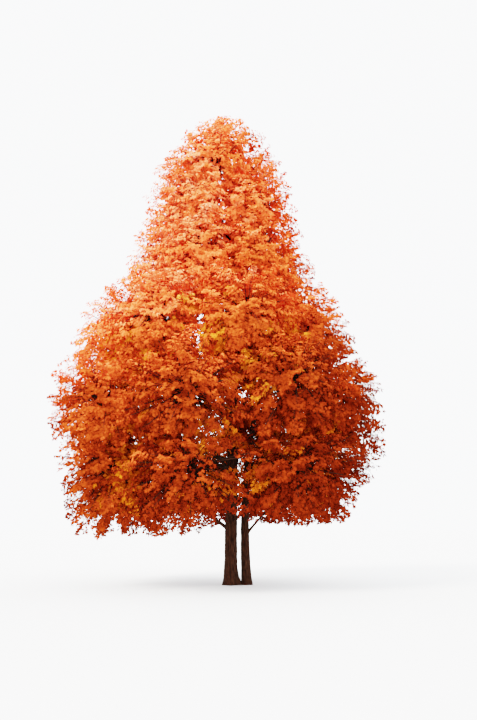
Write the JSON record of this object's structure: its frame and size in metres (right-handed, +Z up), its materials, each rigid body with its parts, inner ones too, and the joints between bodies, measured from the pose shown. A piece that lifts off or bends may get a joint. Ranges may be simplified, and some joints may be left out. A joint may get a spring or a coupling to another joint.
{
  "type": "red maple tree",
  "caption": "Broad, pyramid-shaped maple in full autumn leaf: two stems from one root flare, upswept boughs and layered masses of orange to deep red foliage.",
  "frame": {"origin": "middle of the main stem's flat cut at ground level", "axes": "+Z up; +X to the viewer's right and -Y towards the viewer in the source picture"},
  "size_m": [9.9688, 10.01, 15.0466],
  "materials": {
    "bark": "matt, fissured bark",
    "leaves_crest": "matt autumn leaves",
    "leaves_high": "matt autumn leaves",
    "leaves_lower": "matt autumn leaves",
    "leaves_middle": "matt autumn leaves",
    "leaves_skirt": "matt autumn leaves",
    "leaves_top": "matt autumn leaves",
    "leaves_upper": "matt autumn leaves"
  },
  "bodies": {
    "root": {"bough_lower_1": "bark", "bough_lower_2": "bark", "bough_lower_3": "bark", "bough_lower_4": "bark", "bough_lower_5": "bark", "bough_lower_6": "bark", "bough_lower_7": "bark", "bough_lower_8": "bark", "bough_middle_2": "bark", "bough_middle_3": "bark", "bough_middle_4": "bark", "bough_middle_5": "bark", "bough_middle_6": "bark", "bough_middle_7": "bark", "bough_skirt_1": "bark", "bough_skirt_2": "bark", "bough_skirt_3": "bark", "bough_skirt_4": "bark", "bough_skirt_5": "bark", "bough_skirt_6": "bark", "bough_skirt_7": "bark", "foliage_crest_1": "leaves_crest", "foliage_crest_2": "leaves_crest", "foliage_crest_3": "leaves_crest", "foliage_high_1": "leaves_high", "foliage_high_2": "leaves_high", "foliage_high_3": "leaves_high", "foliage_high_4": "leaves_high", "foliage_lower_1": "leaves_lower", "foliage_lower_2": "leaves_lower", "foliage_lower_3": "leaves_lower", "foliage_lower_4": "leaves_lower", "foliage_lower_5": "leaves_lower", "foliage_lower_6": "leaves_lower", "foliage_lower_7": "leaves_lower", "foliage_lower_8": "leaves_lower", "foliage_middle_1": "leaves_middle", "foliage_middle_2": "leaves_middle", "foliage_middle_3": "leaves_middle", "foliage_middle_4": "leaves_middle", "foliage_middle_5": "leaves_middle", "foliage_middle_6": "leaves_middle", "foliage_middle_7": "leaves_middle", "foliage_skirt_1": "leaves_skirt", "foliage_skirt_2": "leaves_skirt", "foliage_skirt_3": "leaves_skirt", "foliage_skirt_4": "leaves_skirt", "foliage_skirt_5": "leaves_skirt", "foliage_skirt_6": "leaves_skirt", "foliage_skirt_7": "leaves_skirt", "foliage_top": "leaves_top", "foliage_upper_1": "leaves_upper", "foliage_upper_2": "leaves_upper", "foliage_upper_3": "leaves_upper", "foliage_upper_4": "leaves_upper", "foliage_upper_5": "leaves_upper", "foliage_upper_6": "leaves_upper", "second_stem": "bark", "trunk": "bark"}
  },
  "joints": []
}
